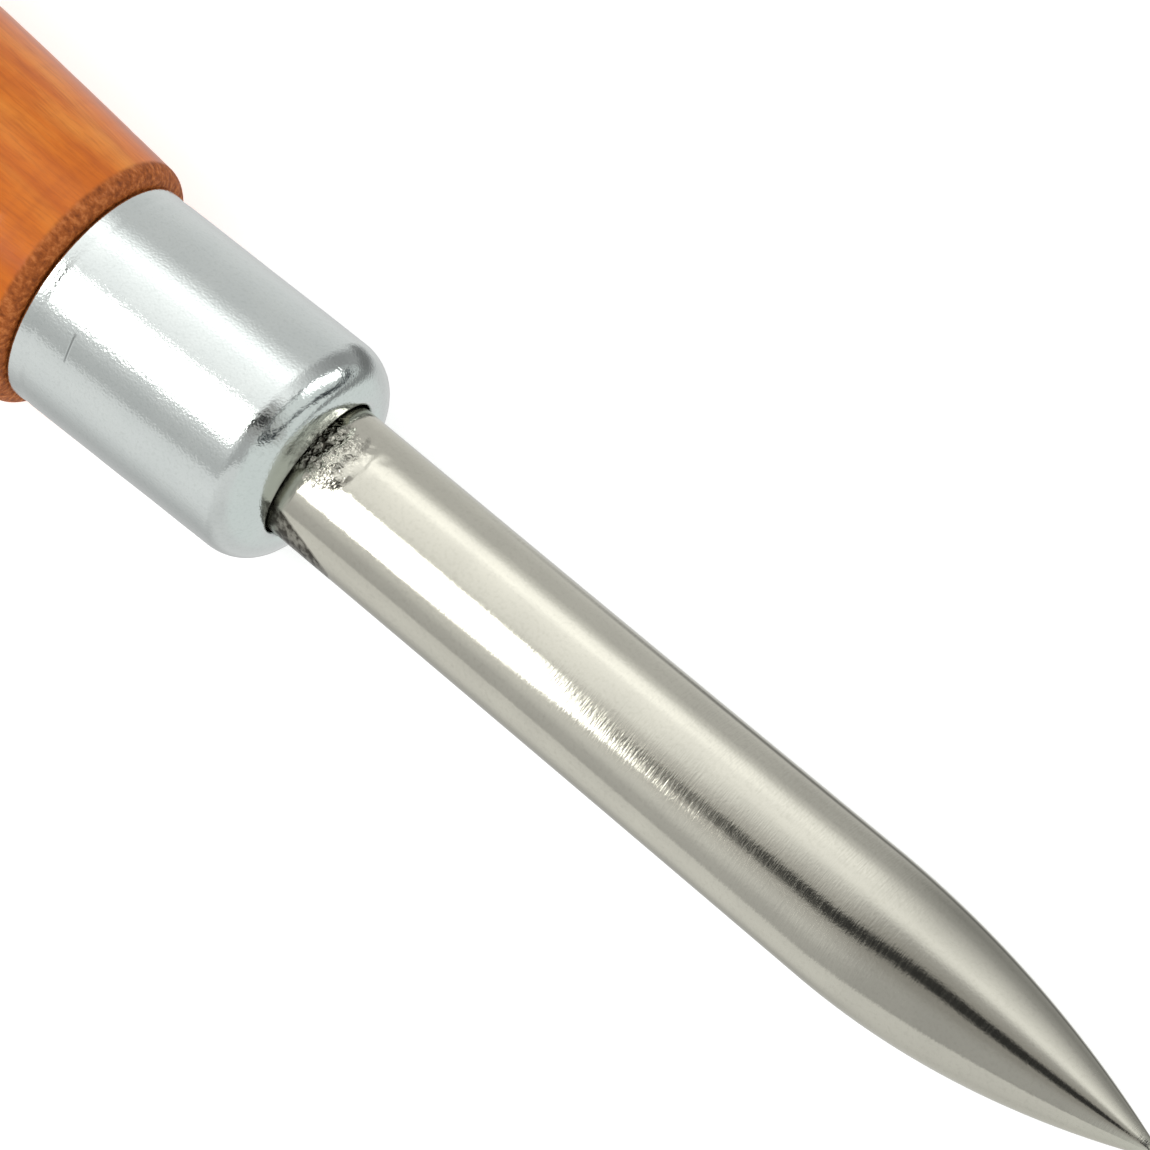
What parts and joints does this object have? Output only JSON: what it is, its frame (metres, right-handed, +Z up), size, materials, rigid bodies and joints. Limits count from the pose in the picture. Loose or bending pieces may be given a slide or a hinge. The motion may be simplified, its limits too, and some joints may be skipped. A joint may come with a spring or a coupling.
{
  "type": "scratch awl",
  "caption": "Leatherworker's spike awl: a smooth flattened plated steel spike with an ogive point, set in a turned hardwood handle with a drawn steel ferrule.",
  "frame": {"origin": "on the surface that the tool lies on, under the middle of the whole tool's box", "axes": "+X from the handle towards the point, level; +Z up out of the surface, with the broad face of the blade up"},
  "size_m": [0.1418, 0.02, 0.0211],
  "materials": {
    "handle": "stained and varnished hardwood, glossy",
    "ferrule": "bright plated sheet steel",
    "blade": "nickel-plated steel, polished"
  },
  "bodies": {
    "root": {"handle": "handle", "ferrule": "ferrule", "blade": "blade"}
  },
  "joints": []
}
